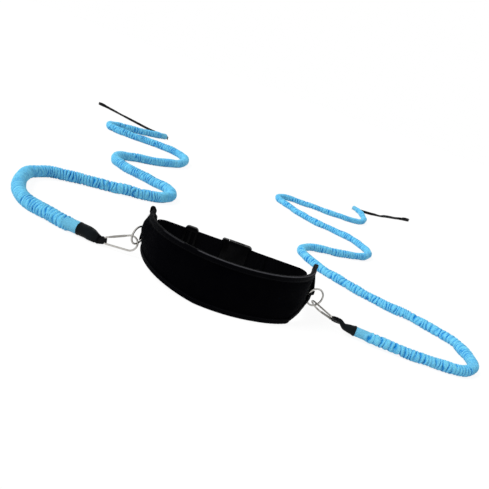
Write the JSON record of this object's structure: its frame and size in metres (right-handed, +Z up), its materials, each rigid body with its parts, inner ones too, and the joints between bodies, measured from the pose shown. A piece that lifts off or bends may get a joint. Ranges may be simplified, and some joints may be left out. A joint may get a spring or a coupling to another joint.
{
  "type": "resistance sprint trainer",
  "caption": "Padded waist belt with a rear strap and side-release buckle, with long sleeved elastic cords snap-hooked to rings on its flanks and webbing straps at their far ends.",
  "frame": {"origin": "centre of the belt's footprint, on the floor that the belt and the cords lie on", "axes": "+Z up, the belt's front towards -Y, +X to the belt's right as seen from the front"},
  "size_m": [1.7133, 2.1228, 0.0965],
  "materials": {
    "shell_fabric": "black woven nylon with a faint satin sheen",
    "lining_fabric": "black brushed lining",
    "foam": "closed-cell foam padding",
    "pale_binding": "black folded binding tape with a thin grey line along its fold",
    "dark_binding": "black folded binding tape",
    "webbing": "black woven webbing",
    "nickel_steel": "nickel-plated steel wire",
    "pin_steel": "plain steel",
    "buckle_plastic": "black moulded acetal",
    "cuff_rubber": "black moulded rubber",
    "ferrule_metal": "crimped aluminium",
    "elastic_rubber": "solid latex cord",
    "blue_fabric": "sky blue ruched woven nylon"
  },
  "bodies": {
    "belt": {"front_panel_shell": "shell_fabric", "panel_lining": "lining_fabric", "panel_foam": "foam", "top_edge_binding": "pale_binding", "bottom_edge_binding": "dark_binding", "left_end_binding": "dark_binding", "right_end_binding": "dark_binding", "left_ring_loop": "webbing", "right_ring_loop": "webbing", "left_rear_strap": "webbing", "right_rear_strap": "webbing", "buckle_socket": "buckle_plastic", "left_cuff": "cuff_rubber", "right_cuff": "cuff_rubber", "left_cuff_loop": "webbing", "right_cuff_loop": "webbing", "left_near_ferrule": "ferrule_metal", "right_near_ferrule": "ferrule_metal", "left_far_ferrule": "ferrule_metal", "right_far_ferrule": "ferrule_metal", "left_elastic_cord": "elastic_rubber", "right_elastic_cord": "elastic_rubber", "left_sleeve": "blue_fabric", "right_sleeve": "blue_fabric", "left_far_strap": "webbing", "right_far_strap": "webbing"},
    "left_ring_body": {"left_ring": "nickel_steel"},
    "right_ring_body": {"right_ring": "nickel_steel"},
    "left_hook_body": {"left_hook": "nickel_steel", "left_gate_pin": "pin_steel"},
    "right_hook_body": {"right_hook": "nickel_steel", "right_gate_pin": "pin_steel"},
    "left_gate_body": {"left_hook_gate": "nickel_steel", "left_gate_spring": "pin_steel"},
    "right_gate_body": {"right_hook_gate": "nickel_steel", "right_gate_spring": "pin_steel"},
    "buckle_tongue": {"buckle_plug": "buckle_plastic", "adjuster_webbing": "webbing", "strap_slider": "buckle_plastic"},
    "upper_prong": {"buckle_prong_upper": "buckle_plastic"},
    "lower_prong": {"buckle_prong_lower": "buckle_plastic"}
  },
  "joints": [
    {"name": "left_ring_swing", "type": "hinge", "parent": "belt", "child": "left_ring_body", "pos_m": [-0.17794, 0.05192, 0.0428], "axis": [0, 0, 1], "range_deg": [-12, 0]},
    {"name": "right_ring_swing", "type": "hinge", "parent": "belt", "child": "right_ring_body", "pos_m": [0.161, 0.05192, 0.0362], "axis": [0, 0, 1], "range_deg": [0, 12]},
    {"name": "left_hook_swing", "type": "hinge", "parent": "belt", "child": "left_hook_body", "pos_m": [-0.24189, 0.02979, 0.01234], "axis": [-0.2368, 0.2891, 0.9275], "range_deg": [-8, 0]},
    {"name": "right_hook_swing", "type": "hinge", "parent": "belt", "child": "right_hook_body", "pos_m": [0.21993, 0.03511, 0.01558], "axis": [0.5996, 0.4749, -0.6442], "range_deg": [0, 8]},
    {"name": "left_gate_swing", "type": "hinge", "parent": "left_hook_body", "child": "left_gate_body", "pos_m": [-0.23419, 0.03281, 0.02179], "axis": [-0.0067, 0.9542, -0.2991], "range_deg": [0, 20], "stiffness_Nm_per_rad": 0.12, "springref_deg": -17.19},
    {"name": "right_gate_swing", "type": "hinge", "parent": "right_hook_body", "child": "right_gate_body", "pos_m": [0.2185, 0.04652, 0.01054], "axis": [0.5041, 0.4011, 0.7649], "range_deg": [0, 20], "stiffness_Nm_per_rad": 0.12, "springref_deg": -17.19},
    {"name": "buckle_slide", "type": "slide", "parent": "belt", "child": "buckle_tongue", "axis": [-1, 0, 0], "range_m": [0, 0.037], "deforming": ["buckle_prong_upper", "buckle_prong_lower"]},
    {"name": "upper_prong_squeeze", "type": "hinge", "parent": "buckle_tongue", "child": "upper_prong", "pos_m": [-0.02097, 0.08515, 0.0715], "axis": [0, 1, 0], "range_deg": [0, 6], "stiffness_Nm_per_rad": 2},
    {"name": "lower_prong_squeeze", "type": "hinge", "parent": "buckle_tongue", "child": "lower_prong", "pos_m": [-0.02097, 0.08515, 0.0285], "axis": [0, -1, 0], "range_deg": [0, 6], "stiffness_Nm_per_rad": 2}
  ],
  "couplings": [
    {"joint": "lower_prong_squeeze", "follows": "upper_prong_squeeze", "ratio": 1}
  ]
}
